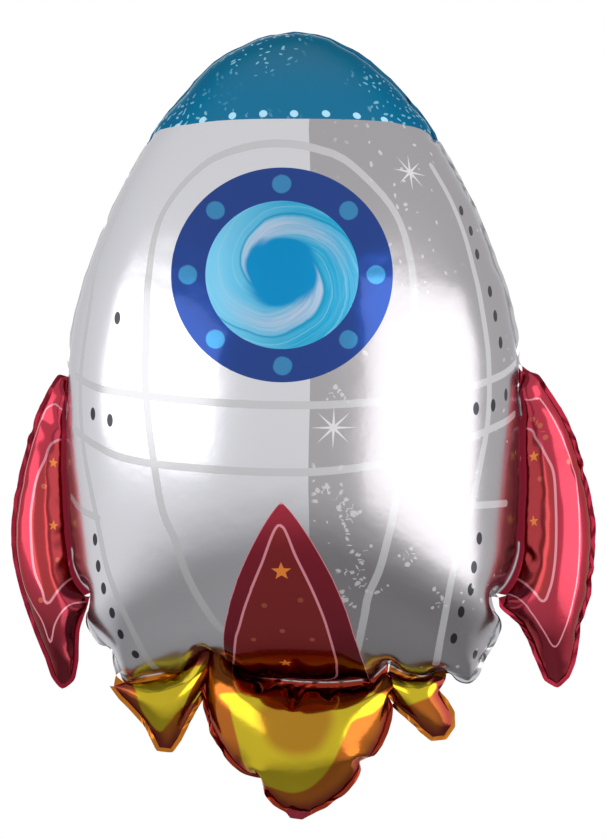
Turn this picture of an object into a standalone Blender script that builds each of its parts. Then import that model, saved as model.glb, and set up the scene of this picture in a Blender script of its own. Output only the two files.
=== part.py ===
"""A rocket-shaped foil balloon, filled, as it floats on its tether.

Two printed metallised films are heat-sealed together round one outline: an egg-shaped body with a blue
nose, a fin lobe on each side and three flame lobes below. Each film is modelled as a wall of WALL
thickness, in front halves (towards -Y) and back halves (towards +Y), which clamp the flat weld seam
between them. The printed fields that read as parts of the rocket are inlaid panels of that wall.

Metres, +Z up, +X to the right of somebody who looks at the front. The origin is the lower end of the
filling neck, where the tether is tied.
"""
import math

import bmesh
import bpy

# Overall sizes
TOP_Z = 0.737
WALL = 0.010            # thickness of each film wall
GAP = 0.0003            # between two pieces that touch
SEAM_THICKNESS = 0.0008
SEAM_FLANGE = 0.004     # how far the weld stands out past the lobes
SEAM_LAND = 0.007       # how far it reaches in between their walls
RIM_Y = SEAM_THICKNESS / 2 + GAP

# The body
BODY_HALF_WIDTH = 0.211
BODY_HALF_DEPTH = 0.160
WIDEST_Z = 0.355
DEEPEST_Z = 0.420       # the film is fullest a little above the widest place
BODY_BASE_Z = 0.128     # the crease above the flames
ROUND_BASE_Z = 0.055    # where the egg would close if the crease did not cut it
UPPER_POWER = 0.57      # 0.5 is an ellipse, more is a sharper nose
UPPER_DEPTH_POWER = 0.53
LOWER_SQUARENESS = 2.5
BASE_SQUARENESS = 2.2

# The printed fields on the body
NOSE_Z = 0.649
PORTHOLE_Z = 0.510
RING_RADIUS = 0.104
PANE_RADIUS = 0.072
CENTRE_FIN_TOP_Z = 0.297
CENTRE_FIN_HALF_WIDTH = 0.063
CENTRE_FIN_POWER = 1.25     # 1 is a sine arch, more is a fuller one with a sharper tip

# The lobes, as sections at heights, for the right-hand side of the front: z, inner x, outer x
FIN_SECTIONS = (
    (0.4160, 0.2150, 0.2150),
    (0.4000, 0.2110, 0.2280),
    (0.3650, 0.2120, 0.2460),
    (0.3130, 0.2130, 0.2670),
    (0.2620, 0.2110, 0.2735),
    (0.2150, 0.2010, 0.2700),
    (0.1820, 0.2080, 0.2600),
    (0.1500, 0.2160, 0.2530),
    (0.1270, 0.2320, 0.2320),
)
FIN_REACH = {"left": 0.86, "right": 1.02}
FIN_TURN = {"left": math.radians(8), "right": math.radians(12)}     # both fins hang back from the front
FIN_WEB = 0.0045            # flat film between the body and a fin, whose edge is the hinge
FIN_CLEARANCE = 0.0004      # from the hinge to the fin's walls
LEFT_FLAME_SECTIONS = (
    (0.1265, -0.1560, -0.0870),
    (0.1113, -0.1535, -0.0890),
    (0.0920, -0.1460, -0.1060),
    (0.0750, -0.1380, -0.1180),
    (0.0610, -0.1320, -0.1320),
)
RIGHT_FLAME_SECTIONS = (
    (0.1265, 0.0920, 0.1520),
    (0.1113, 0.0930, 0.1400),
    (0.0991, 0.0950, 0.1430),
    (0.0878, 0.1130, 0.1435),
    (0.0780, 0.1345, 0.1345),
)
FIN_DEPTH_RATIO = 0.84      # depth of a lobe over its width
FLAME_DEPTH_RATIO = 0.48

CENTRE_FLAME_X = 0.004
CENTRE_FLAME_TOP_Z = 0.1265
CENTRE_FLAME_HALF_WIDTH = 0.0810
CENTRE_FLAME_HALF_DEPTH = 0.035
FLAME_SQUARENESS = 2.4
FLAME_POWER = 0.85          # 0.5 is an ellipse, more is a sharper tip
CREASE_ROUNDING = 0.40      # share of a flame's height over which it swells to its full depth
LOBE_END_SHARE = 1.6        # how far a lobe's inner skin ends before its tip, over the shrink
THINNEST_HALF_WIDTH = 0.0015
THINNEST_HALF_DEPTH = 0.0012

NECK_TOP_Z = 0.0145
NECK_HALF_WIDTH = 0.012
NECK_END_RADIUS = 0.005
NECK_THICKNESS = 0.0016

# Guides that cut other pieces
THROUGH = 1.0               # front to back, past both walls
THROUGH_SEAM = 0.02         # front to back, past the weld only
BLOCK_SIZE = 0.5
BELOW_NECK_SIZE = 0.1

# Mesh fineness
BODY_ROWS = 9               # from the widest section to each end
BODY_COLUMNS = 18
LOBE_ROWS = 10
FIN_ROWS = 18
LOBE_COLUMNS = 10
PORTHOLE_SEGMENTS = 48
ARCH_STEPS = 8

# Colours: name to (red, green, blue), roughness, metallic
FOILS = {
    "silver_foil": ((0.60, 0.60, 0.63), 0.22, 0.9),
    "blue_foil": ((0.01, 0.16, 0.32), 0.25, 0.8),
    "ring_foil": ((0.02, 0.06, 0.35), 0.25, 0.8),
    "pane_foil": ((0.03, 0.45, 0.72), 0.25, 0.8),
    "crimson_foil": ((0.40, 0.01, 0.04), 0.22, 0.8),
    "gold_foil": ((0.75, 0.50, 0.03), 0.22, 0.8),
    "seam_foil": ((0.45, 0.45, 0.47), 0.35, 0.8),
}


def foil(name):
    """The named foil's material, made once."""
    if name in bpy.data.materials:
        return bpy.data.materials[name]
    colour, roughness, metallic = FOILS[name]
    material = bpy.data.materials.new(name)
    material.use_nodes = True
    shader = material.node_tree.nodes["Principled BSDF"]
    shader.inputs["Base Color"].default_value = (*colour, 1.0)
    shader.inputs["Roughness"].default_value = roughness
    shader.inputs["Metallic"].default_value = metallic
    return material


def add_object(name, mesh_maker, foil_name=None):
    """A linked object whose mesh is the finished bmesh, faces pointing out."""
    bmesh.ops.recalc_face_normals(mesh_maker, faces=mesh_maker.faces)
    if mesh_maker.calc_volume(signed=True) < 0:
        bmesh.ops.reverse_faces(mesh_maker, faces=mesh_maker.faces)
    mesh = bpy.data.meshes.new(name)
    mesh_maker.to_mesh(mesh)
    mesh_maker.free()
    mesh.shade_smooth()
    mesh.set_sharp_from_angle(angle=math.radians(35))
    piece = bpy.data.objects.new(name, mesh)
    bpy.context.scene.collection.objects.link(piece)
    if foil_name:
        mesh.materials.append(foil(foil_name))
    return piece


def add_cutter(name, mesh_maker):
    """A guide that shapes other pieces and is not one itself."""
    cutter = add_object(name, mesh_maker)
    cutter.hide_render = True
    cutter.display_type = "WIRE"
    return cutter


def cut(piece, cutter, operation="DIFFERENCE"):
    modifier = piece.modifiers.new(cutter.name, "BOOLEAN")
    modifier.operation = operation
    modifier.object = cutter
    modifier.solver = "EXACT"


def body_section(z, shrink):
    """Half width and half depth of the body at a height, for an outline moved in by shrink."""
    if z >= WIDEST_Z:
        rise = min(1.0, (z - WIDEST_Z) / (TOP_Z - shrink - WIDEST_Z))
        width = (1 - rise**2) ** UPPER_POWER
    else:
        drop = (WIDEST_Z - z) / (WIDEST_Z - ROUND_BASE_Z - shrink)
        width = math.sqrt(1 - drop**LOWER_SQUARENESS)
    if z >= DEEPEST_Z:
        rise = min(1.0, (z - DEEPEST_Z) / (TOP_Z - shrink - DEEPEST_Z))
        depth = (1 - rise**2) ** UPPER_DEPTH_POWER
    else:
        drop = min(1.0, (DEEPEST_Z - z) / (DEEPEST_Z - BODY_BASE_Z - shrink))
        depth = math.sqrt(1 - drop**BASE_SQUARENESS)
    return (BODY_HALF_WIDTH - shrink) * width, (BODY_HALF_DEPTH - shrink) * depth


def body_rows(shrink):
    """Sections from the top to the crease, as (z, centre x, half width, half depth)."""
    top, base = TOP_Z - shrink, BODY_BASE_Z + shrink
    rows = [(top, 0.0, 0.0, 0.0)]
    for step in range(BODY_ROWS - 1, -BODY_ROWS, -1):
        turn = math.sin(step / BODY_ROWS * math.pi / 2)
        z = WIDEST_Z + turn * (top - WIDEST_Z if step > 0 else WIDEST_Z - base)
        rows.append((z, 0.0, *body_section(z, shrink)))
    rows.append((base, 0.0, body_section(base, shrink)[0], 0.0))
    return rows


def between(table, z):
    """Inner and outer x at a height, on a smooth curve through a lobe's sections."""
    last = len(table) - 2
    i = next((k for k in range(last + 1) if z >= table[k + 1][0]), last)
    above, start, end, below = table[max(i - 1, 0)], table[i], table[i + 1], table[min(i + 2, last + 1)]
    span = start[0] - end[0]
    share = min(1.0, max(0.0, (start[0] - z) / span))
    values = []
    for column in (1, 2):
        slope_in = (end[column] - above[column]) / (above[0] - end[0]) * span
        slope_out = (below[column] - start[column]) / (start[0] - below[0]) * span
        values.append(
            (2 * share**3 - 3 * share**2 + 1) * start[column]
            + (share**3 - 2 * share**2 + share) * slope_in
            + (3 * share**2 - 2 * share**3) * end[column]
            + (share**3 - share**2) * slope_out
        )
    return values


def lobe_rows(table, shrink, creased, depth_ratio, count):
    """Sections of a small lobe; creased ones start at the body's crease and have a straight top."""
    top, tip = table[0][0], table[-1][0]
    length = top - tip
    start_z = top - shrink if creased else top - LOBE_END_SHARE * shrink
    end_z = tip + LOBE_END_SHARE * shrink
    rows = []
    for step in range(count + 1):
        z = start_z - (start_z - end_z) * (1 - math.cos(math.pi * step / count)) / 2
        inner, outer = between(table, z)
        middle = (inner + outer) / 2
        half = (outer - inner) / 2 - shrink
        ends_here = step == count or (step == 0 and not creased)
        if ends_here:
            rows.append((z, middle, 0.0, 0.0))
            continue
        half = max(half, THINNEST_HALF_WIDTH)
        swell = min(1.0, (start_z - z) / (CREASE_ROUNDING * length)) if creased else 1.0
        depth = depth_ratio * (outer - inner) / 2 - shrink
        depth = max(depth, THINNEST_HALF_DEPTH) * math.sqrt(1 - (1 - swell) ** 2)
        rows.append((z, middle, half, depth))
    return rows


def fin_hinge(z):
    """Distance from the axis to the line in the flat web that a fin turns about."""
    return body_section(z, 0)[0] + FIN_WEB


def turn_back(maker, side):
    """Turn a fin's vertices backwards about its hinge; those inside the hinge stay flat."""
    sign = -1 if side == "left" else 1
    cosine, sine = math.cos(FIN_TURN[side]), math.sin(FIN_TURN[side])
    for vertex in maker.verts:
        x, y, z = vertex.co
        hinge = fin_hinge(z)
        reach = sign * x - hinge
        if reach > -1e-6:
            vertex.co = (sign * (hinge + reach * cosine - y * sine), y * cosine + reach * sine, z)


def fin_rows(side, shrink):
    """A side fin before it is turned back, welded to the body's side above and free below."""
    reach = FIN_REACH[side]
    table = []
    for z, inner, outer in FIN_SECTIONS:
        edge = fin_hinge(z) + FIN_CLEARANCE
        near = max(edge, edge + (inner - edge) * reach)
        far = max(near, edge + (outer - edge) * reach)
        table.append((z, near, far) if side == "right" else (z, -far, -near))
    return lobe_rows(table, shrink, False, FIN_DEPTH_RATIO, FIN_ROWS)


def flame_rows(table, shrink):
    """A small flame."""
    return lobe_rows(table, shrink, True, FLAME_DEPTH_RATIO, LOBE_ROWS)


def centre_flame_rows(shrink):
    """The big flame: a blunt heart from the crease down to the filling neck."""
    top, base = CENTRE_FLAME_TOP_Z - shrink, NECK_TOP_Z + GAP + shrink
    rows = []
    for step in range(LOBE_ROWS + 1):
        z = top - (top - base) * (1 - math.cos(math.pi * step / LOBE_ROWS)) / 2
        drop = (CENTRE_FLAME_TOP_Z - z) / CENTRE_FLAME_TOP_Z
        taper = max(0.0, 1 - max(0.0, drop) ** FLAME_SQUARENESS) ** FLAME_POWER
        half = CENTRE_FLAME_HALF_WIDTH * taper - shrink
        swell = min(1.0, (top - z) / (CREASE_ROUNDING * top))
        close = min(1.0, (z - base) / (CREASE_ROUNDING * top))
        depth = (CENTRE_FLAME_HALF_DEPTH * taper - shrink) * math.sqrt(1 - (1 - swell) ** 2)
        depth *= math.sqrt(max(0.0, 1 - (1 - close) ** 2))
        depth = 0.0 if step in (0, LOBE_ROWS) else max(depth, 0.001)
        rows.append((z, CENTRE_FLAME_X, half, depth))
    return rows


LOBES = {
    "fin_left": (lambda shrink: fin_rows("left", shrink), "crimson_foil"),
    "fin_right": (lambda shrink: fin_rows("right", shrink), "crimson_foil"),
    "flame_left": (lambda shrink: flame_rows(LEFT_FLAME_SECTIONS, shrink), "gold_foil"),
    "flame_centre": (centre_flame_rows, "gold_foil"),
    "flame_right": (lambda shrink: flame_rows(RIGHT_FLAME_SECTIONS, shrink), "gold_foil"),
}
FIN_SIDES = {"fin_left": "left", "fin_right": "right"}


def half_wall(rows_of, columns, side):
    """A bmesh of one film's wall: an outer and an inner skin joined by a flat rim on the seam plane."""
    maker = bmesh.new()

    def skin(rows):
        grid = []
        for z, middle, half_width, half_depth in rows:
            points = columns if half_width > 0 else 0
            ring = []
            for column in range(points + 1):
                angle = math.pi * column / columns
                x = middle - half_width * math.cos(angle)
                y = side * (RIM_Y + half_depth * math.sin(angle)) if points else side * RIM_Y
                ring.append(maker.verts.new((x, y, z)))
            grid.append(ring)
        for upper, lower in zip(grid, grid[1:]):
            for column in range(columns):
                corners = [upper[min(column, len(upper) - 1)], upper[min(column + 1, len(upper) - 1)],
                           lower[min(column + 1, len(lower) - 1)], lower[min(column, len(lower) - 1)]]
                maker.faces.new(list(dict.fromkeys(corners)))
        return grid

    def rim(grid):
        left = [ring[0] for ring in grid]
        right = [ring[-1] for ring in grid if len(ring) > 1]
        loop = left + grid[-1][1:-1] + right[::-1] + grid[0][1:-1][::-1]
        return loop

    outer, inner = rim(skin(rows_of(0.0))), rim(skin(rows_of(WALL)))
    for i in range(len(outer)):
        j = (i + 1) % len(outer)
        maker.faces.new((outer[i], outer[j], inner[j], inner[i]))
    return maker


def plate(points, thickness):
    """A bmesh of an upright plate, centred on the seam plane, from its outline in (x, z)."""
    maker = bmesh.new()
    face = maker.faces.new([maker.verts.new((x, -thickness / 2, z)) for x, z in points])
    raised = bmesh.ops.extrude_face_region(maker, geom=[face])["geom"]
    moved = [item for item in raised if isinstance(item, bmesh.types.BMVert)]
    bmesh.ops.translate(maker, verts=moved, vec=(0, thickness, 0))
    return maker


def outline(rows):
    """The outline of a lobe's sections in (x, z)."""
    left = [(middle - half, z) for z, middle, half, _ in rows]
    right = [(middle + half, z) for z, middle, half, _ in rows if half > 0]
    return left + right[::-1]


def disc(radius):
    """A bmesh of a cylinder that runs front to back through the porthole's centre."""
    points = []
    for step in range(PORTHOLE_SEGMENTS):
        angle = 2 * math.pi * step / PORTHOLE_SEGMENTS
        points.append((radius * math.cos(angle), PORTHOLE_Z + radius * math.sin(angle)))
    return plate(points, THROUGH)


def centre_fin_arch(grow):
    """A bmesh of the pointed arch of the printed fin, running front to back."""
    height = CENTRE_FIN_TOP_Z - BODY_BASE_Z
    points = []
    for step in range(ARCH_STEPS, 0, -1):
        share = step / ARCH_STEPS
        points.append((CENTRE_FIN_HALF_WIDTH * math.sin(share * math.pi / 2) + grow,
                       CENTRE_FIN_TOP_Z - height * share**CENTRE_FIN_POWER))
    low = BODY_BASE_Z - WALL
    right = [(points[0][0], low)] + points
    left = [(-x, z) for x, z in reversed(right)]
    return plate(right + [(0.0, CENTRE_FIN_TOP_Z + 2.5 * grow)] + left, THROUGH)


def box_above(z):
    """A bmesh of a block that holds everything above a height."""
    top = z + BLOCK_SIZE
    return plate([(-BLOCK_SIZE, z), (BLOCK_SIZE, z), (BLOCK_SIZE, top), (-BLOCK_SIZE, top)], THROUGH)


def build_body():
    """The body's wall and the printed fields that are inlaid in it, front and back."""
    above_nose = add_cutter("cut_above_nose", box_above(NOSE_Z))
    nose_block = add_cutter("cut_nose_block", box_above(NOSE_Z + GAP))
    ring_hole = add_cutter("cut_ring_hole", disc(RING_RADIUS + GAP))
    ring_disc = add_cutter("cut_ring_disc", disc(RING_RADIUS))
    pane_hole = add_cutter("cut_pane_hole", disc(PANE_RADIUS + GAP))
    pane_disc = add_cutter("cut_pane_disc", disc(PANE_RADIUS))
    arch_hole = add_cutter("cut_arch_hole", centre_fin_arch(GAP))
    arch_block = add_cutter("cut_arch_block", centre_fin_arch(0.0))
    for label, side in (("front", -1), ("back", 1)):
        fields = (
            ("body", "silver_foil", None, (above_nose, ring_hole, arch_hole)),
            ("nose", "blue_foil", nose_block, ()),
            ("porthole_ring", "ring_foil", ring_disc, (pane_hole,)),
            ("porthole_pane", "pane_foil", pane_disc, ()),
            ("centre_fin", "crimson_foil", arch_block, ()),
        )
        for name, foil_name, kept, removed in fields:
            piece = add_object(f"{name}_{label}", half_wall(body_rows, BODY_COLUMNS, side), foil_name)
            if kept:
                cut(piece, kept, "INTERSECT")
            for cutter in removed:
                cut(piece, cutter)


def build_lobes():
    """The side fins and the flames, a front and a back half each."""
    for name, (rows_of, foil_name) in LOBES.items():
        for label, side in (("front", -1), ("back", 1)):
            wall = half_wall(rows_of, LOBE_COLUMNS, side)
            if name in FIN_SIDES:
                turn_back(wall, FIN_SIDES[name])
            add_object(f"{name}_{label}", wall, foil_name)


def fin_seam(name):
    """A bmesh of the weld round a fin: a strip that is flat up to the hinge and turned back past it."""
    rows_of = LOBES[name][0]
    maker = bmesh.new()
    loops = []
    for shrink in (-SEAM_FLANGE, -FIN_CLEARANCE, SEAM_LAND):
        points = outline(rows_of(shrink))
        loops.append([[maker.verts.new((x, y, z)) for x, z in points]
                      for y in (-SEAM_THICKNESS / 2, SEAM_THICKNESS / 2)])
    count = len(loops[0][0])
    for i in range(count):
        j = (i + 1) % count
        for outer, inner in zip(loops, loops[1:]):
            for layer in (0, 1):
                maker.faces.new((outer[layer][i], outer[layer][j], inner[layer][j], inner[layer][i]))
        for front, back in (loops[0], loops[-1]):
            maker.faces.new((front[i], front[j], back[j], back[i]))
    turn_back(maker, FIN_SIDES[name])
    return maker


def build_seam():
    """The weld that runs round every lobe and carries them on the body."""
    seam = add_object("weld_seam", plate(outline(body_rows(-SEAM_FLANGE)), SEAM_THICKNESS), "seam_foil")
    flat_lobes = {name: rows_of for name, (rows_of, _) in LOBES.items() if name not in FIN_SIDES}
    for name, rows_of in flat_lobes.items():
        cut(seam, add_cutter(f"grow_{name}", plate(outline(rows_of(-SEAM_FLANGE)), SEAM_THICKNESS)), "UNION")
    for name, rows_of in [("body", body_rows)] + list(flat_lobes.items()):
        cut(seam, add_cutter(f"hollow_{name}", plate(outline(rows_of(SEAM_LAND)), THROUGH_SEAM)))
    for name in FIN_SIDES:
        cut(seam, add_cutter(f"grow_{name}", fin_seam(name)), "UNION")
    wide = BELOW_NECK_SIZE
    low = [(-wide, -wide), (wide, -wide), (wide, NECK_TOP_Z), (-wide, NECK_TOP_Z)]
    cut(seam, add_cutter("cut_below_neck", plate(low, THROUGH_SEAM)))


def build_neck():
    """The flat filling neck below the big flame, with a round end at the origin."""
    points = [(NECK_HALF_WIDTH + CENTRE_FLAME_X, NECK_TOP_Z - GAP)]
    points.append((-NECK_HALF_WIDTH + CENTRE_FLAME_X, NECK_TOP_Z - GAP))
    for step in range(ARCH_STEPS + 1):
        angle = math.pi + math.pi * step / ARCH_STEPS
        points.append((NECK_END_RADIUS * math.cos(angle), NECK_END_RADIUS * (1 + math.sin(angle))))
    add_object("filling_neck", plate(points, NECK_THICKNESS), "crimson_foil")


def main():
    for old in list(bpy.data.objects):
        bpy.data.objects.remove(old, do_unlink=True)
    build_body()
    build_lobes()
    build_seam()
    build_neck()


main()
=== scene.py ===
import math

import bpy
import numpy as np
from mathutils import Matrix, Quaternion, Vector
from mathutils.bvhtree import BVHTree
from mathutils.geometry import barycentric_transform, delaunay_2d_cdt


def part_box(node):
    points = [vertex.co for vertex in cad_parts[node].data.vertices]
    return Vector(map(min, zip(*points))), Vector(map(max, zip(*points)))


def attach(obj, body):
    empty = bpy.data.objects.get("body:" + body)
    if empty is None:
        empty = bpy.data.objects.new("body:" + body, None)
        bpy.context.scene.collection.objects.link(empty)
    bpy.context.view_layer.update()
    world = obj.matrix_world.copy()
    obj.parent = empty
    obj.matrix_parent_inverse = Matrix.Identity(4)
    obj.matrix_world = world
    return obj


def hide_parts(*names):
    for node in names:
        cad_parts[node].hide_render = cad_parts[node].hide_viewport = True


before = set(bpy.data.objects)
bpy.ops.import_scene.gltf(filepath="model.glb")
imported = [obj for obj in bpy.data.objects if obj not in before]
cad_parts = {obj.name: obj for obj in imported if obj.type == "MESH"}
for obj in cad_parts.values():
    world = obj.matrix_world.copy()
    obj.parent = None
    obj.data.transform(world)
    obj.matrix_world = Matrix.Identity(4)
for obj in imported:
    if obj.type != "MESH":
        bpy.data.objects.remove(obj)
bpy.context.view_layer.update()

# The looks of a rocket-shaped foil balloon, in metres, +Z up, its front towards -Y.
#
# Two printed films are laid flat, welded round every lobe and blown up by a small cloth solver, so that
# the shape and the puckers are those of film that has more length at its seam than the filled form needs.
# The films are then cut into the printed fields, and each field replaces its wall in the CAD frame.

# The filled form, from the frame
BODY_LOW, BODY_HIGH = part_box("body_front")
TOP_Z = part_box("nose_front")[1].z
CREASE_Z = BODY_LOW.z
HALF_WIDTH = (BODY_HIGH.x - BODY_LOW.x) / 2
HALF_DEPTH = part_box("body_back")[1].y
WIDEST_Z = 0.355
ROUND_BASE_Z = 0.055        # where the egg would close if the crease did not cut it
NOSE_ROUNDER = (0.66, 0.26)     # from this height the nose is rounder than its power makes it, by this share
UPPER_POWER = 0.57          # 0.5 is an ellipse, more is a sharper nose
LOWER_SQUARENESS = 2.5

# The flat cut, as shares of the filled form and in metres
CUT_WIDER = 1.30
CUT_TALLER = 1.13
CUT_WIDEST_Z = 0.370
CUT_POWERS = (2.3, 0.50)    # 2 and 0.5 are an ellipse
CREASE_SAG = 0.027          # the body's lower edge is cut as an arc that fills to a level crease
FIN_WIDER = {-1: 1.09, 1: 1.33}     # on the left and on the right
FLAME_TALLER = 1.15
WEB = 0.005                 # single film between the body and its lobes
FLANGE = 0.004              # single film outside the weld
EDGE = 0.012                # side of a triangle of the flat film, halved with each level
UPPER_STEPS, LOWER_STEPS, CREASE_STEPS = 30, 20, 15     # of half the body's outline
FIN_THINNEST = 0.006
FLAME_TOP_STEPS = 8
FLANGE_CLEAR = 0.97         # shares of FLANGE: where its points stand clear, and where it is kept
FLANGE_KEPT = 0.8
POINTS_CLEAR = 0.5          # shares of EDGE: between points of the flange, and from grid to outlines
GRID_CLEAR = 0.62

# The fins as filled: z, inner x, outer x of the left one, outer x of the right one
FIN = (
    (0.4090, 0.2080, 0.2110, 0.2120),
    (0.3950, 0.2080, 0.2185, 0.2220),
    (0.3650, 0.2080, 0.2385, 0.2440),
    (0.3130, 0.2080, 0.2610, 0.2665),
    (0.2620, 0.2030, 0.2710, 0.2765),
    (0.2150, 0.1980, 0.2660, 0.2725),
    (0.2000, 0.1920, 0.2635, 0.2690),
    (0.1900, 0.2020, 0.2610, 0.2660),
    (0.1600, 0.2170, 0.2530, 0.2580),
    (0.1340, 0.2330, 0.2430, 0.2440),
)
# The flames, on the left and on the right: z, the two x
LEFT_FLAME = (
    (0.1240, -0.1530, -0.0740),
    (0.1113, -0.1530, -0.0750),
    (0.0920, -0.1510, -0.0930),
    (0.0720, -0.1490, -0.1180),
    (0.0560, -0.1480, -0.1400),
)
RIGHT_FLAME = (
    (0.1240, 0.0790, 0.1245),
    (0.1113, 0.0800, 0.1215),
    (0.0950, 0.0880, 0.1325),
    (0.0830, 0.1055, 0.1365),
    (0.0700, 0.1220, 0.1325),
)
FLAME_X = 0.003
FLAME_LEAN = 0.012          # how far to the right the tip is cut
FLAME_HALF_WIDTH = 0.0780
FLAME_POWERS = (2.9, 0.78)
FLAME_TOP_Z, FLAME_TIP_Z = 0.124, 0.003
FLAME_ROWS = 12
NECK_HALF_WIDTH = 0.012
NECK_LENGTH = 0.008

# The printed fields on the flat film
RING_CENTRE = (0.000, 0.551)
RING_RADII = (0.0985, 0.0960)
PANE_SHARE = 0.69           # of the ring's radii
NOSE_LINE = (0.690, 0.8)    # height at the middle, and its rise over the square of x
ARCH_X = 0.002
ARCH_TOP = 0.350
ARCH_HALF_WIDTH = 0.072

# The solver: one entry for each level of fineness, from the coarsest. A pair is the value on the tight
# upper body, then the one on the puckered lobes.
LEVELS = (
    {"runs": 3, "steps": 150, "strain": 0.020, "slack": (0.02, 0.25), "smooth": (0.35, 0.10), "drag": 0.97},
    {"runs": 2, "steps": 60, "strain": 0.015, "slack": (0.03, 0.40), "smooth": (0.35, 0.06), "drag": 0.95},
    {"runs": 1, "steps": 50, "strain": 0.010, "slack": (0.10, 0.60), "smooth": (0.20, 0.04), "drag": 0.90},
)
SCATTER = (0.0004, 0.0003, 0.0001)      # how far the points are strewn at the start of each level
FILMS_APART = 0.002         # from the weld to each film at the very start
ROUNDS = 4                  # how often the edges pull in a step
PULL = 1.15                 # how far they pull, as a share of their mean stretch
PUMPED_RADIUS = 0.15        # of the form that the pressure strains by a level's strain
LOOSE_BODY_Z = (0.20, 0.36)     # flat heights between which the body goes from puckered to tight
LOOSE = {"body": 0.35, "fin_left": 0.35, "fin_right": 0.45,     # 0 is tight, 1 the most puckered
         "flame_left": 0.8, "flame_centre": 1.0, "flame_right": 0.8}
SEED = 7
AT_ONCE = 4000              # points whose distances are measured at once
ON_LINE = 1e-5              # points nearer to a line than this lie on it

# The mends of the filled form
IRON_Z = (0.46, 0.60)       # flat heights between which the seam goes from wavy to smooth
IRON_SPACING = 0.004
IRON_ROUNDS = 120
IRON_REACH = 0.030          # how far from the seam the film moves along with it
IRON_FLANGE_ROUNDS = 12
AXIS_REACH = 0.03           # the crease's height is read this near to the axis
SEAM_MARGINS = (0.02, 0.012)    # from the crease and from the top to the levels where the width is read
SEAM_LEVELS = 28
SEAM_BAND = 0.010           # half the height of a level
SEAM_SHARE = 0.8            # of the wanted half width, nearer than which a point isn't the seam's
SEAM_DEGREE = 8             # of the smooth curve through the widths
RIM_Z, RIM_FADE = 0.5, 0.237    # from this height, over this rise, the weld goes from FLANGE outside the
                                # frame's width to FLANGE inside it
FIN_SWING = {"fin_left": math.radians(8), "fin_right": math.radians(12)}
FIN_HINGE = (0.205, 0.10)   # x of the line that a fin turns about at the widest height, and its slope
SLIDE_START, SLIDE_END = 0.2, 1.45      # radii of the slide round the porthole, as shares of the ring's
SLIDE_BAND = 0.004          # half the width of the band where the rims are read

# The photograph's view
VIEW_AZIMUTH = math.radians(4.2)
VIEW_DISTANCE = 4.0
VIEW_CENTRE = (0.0089, 0.3747)
VIEW_HEIGHT = 0.788
SEEN_CENTRE = (-0.0104, 0.5105)     # the ring's middle and radii as the view shows them
SEEN_RADII = (0.1042, 0.1009)
SENSOR = 36.0


def arc_length(points):
    return np.concatenate([[0], np.cumsum(np.linalg.norm(np.diff(points, axis=0), axis=1))])


class Line:
    """A run of points on the flat film, as (x, z); a closed one ends where it starts."""

    def __init__(self, points, closed=True):
        self.points = np.array(points, float)
        self.closed = closed

    def ends(self):
        """The starts and the ends of its straight pieces."""
        if self.closed:
            return self.points, np.roll(self.points, -1, axis=0)
        return self.points[:-1], self.points[1:]

    def spaced(self, spacing):
        """The same line with its points evenly spaced."""
        points = np.vstack([self.points, self.points[:1]]) if self.closed else self.points
        along = arc_length(points)
        count = max(3, round(along[-1] / spacing))
        at = np.linspace(0, along[-1], count + 1)
        if self.closed:
            at = at[:-1]
        return Line(np.stack([np.interp(at, along, points[:, k]) for k in range(2)], axis=1), self.closed)

    def rounded(self, times=2):
        """The same closed line with its corners cut."""
        points = self.points
        for _ in range(times):
            after = np.roll(points, -1, axis=0)
            points = np.stack([0.75 * points + 0.25 * after, 0.25 * points + 0.75 * after], axis=1)
            points = points.reshape(-1, 2)
        return Line(points)

    def curved(self, steps=6):
        """A smooth curve through the line's points."""
        p = self.points
        if self.closed:
            before, after, beyond = np.roll(p, 1, axis=0), np.roll(p, -1, axis=0), np.roll(p, -2, axis=0)
            start = p
        else:
            padded = np.vstack([2 * p[0] - p[1], p, 2 * p[-1] - p[-2]])
            before, start, after, beyond = padded[:-3], padded[1:-2], padded[2:-1], padded[3:]
        t = (np.arange(steps) / steps)[None, :, None]
        before, start, after, beyond = (q[:, None] for q in (before, start, after, beyond))
        made = 0.5 * (2 * start + (after - before) * t + (2 * before - 5 * start + 4 * after - beyond) * t**2
                      + (3 * start - before - 3 * after + beyond) * t**3).reshape(-1, 2)
        return Line(made if self.closed else np.vstack([made, p[-1:]]), self.closed)

    def contains(self, points):
        x, y = points[:, 0, None], points[:, 1, None]
        a, b = self.ends()
        spans = (a[:, 1] > y) != (b[:, 1] > y)
        rise = np.where(b[:, 1] == a[:, 1], 1e-12, b[:, 1] - a[:, 1])
        hits = spans & (x < a[:, 0] + (y - a[:, 1]) / rise * (b[:, 0] - a[:, 0]))
        return hits.sum(axis=1) % 2 == 1

    def distance(self, points):
        """Each point's distance to the line, never negative."""
        a, b = self.ends()
        ab = b - a
        square = np.maximum((ab * ab).sum(-1), 1e-12)
        best = np.empty(len(points))
        for start in range(0, len(points), AT_ONCE):
            ap = points[start:start + AT_ONCE, None] - a[None]
            t = np.clip((ap * ab).sum(-1) / square, 0, 1)
            best[start:start + AT_ONCE] = np.linalg.norm(ap - t[..., None] * ab, axis=-1).min(axis=1)
        return best

    def depth(self, points):
        """Distance to a closed line, negative inside it."""
        return np.where(self.contains(points), -1, 1) * self.distance(points)


def nearest(lines, points):
    return np.min([line.distance(points) for line in lines], axis=0)


def filled_half(z):
    """Half width of the filled body at a height."""
    if z >= WIDEST_Z:
        rise = min(1.0, (z - WIDEST_Z) / (TOP_Z - WIDEST_Z))
        return HALF_WIDTH * (1 - rise**2) ** UPPER_POWER
    drop = (WIDEST_Z - z) / (WIDEST_Z - ROUND_BASE_Z)
    return HALF_WIDTH * math.sqrt(1 - drop**LOWER_SQUARENESS)


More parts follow.
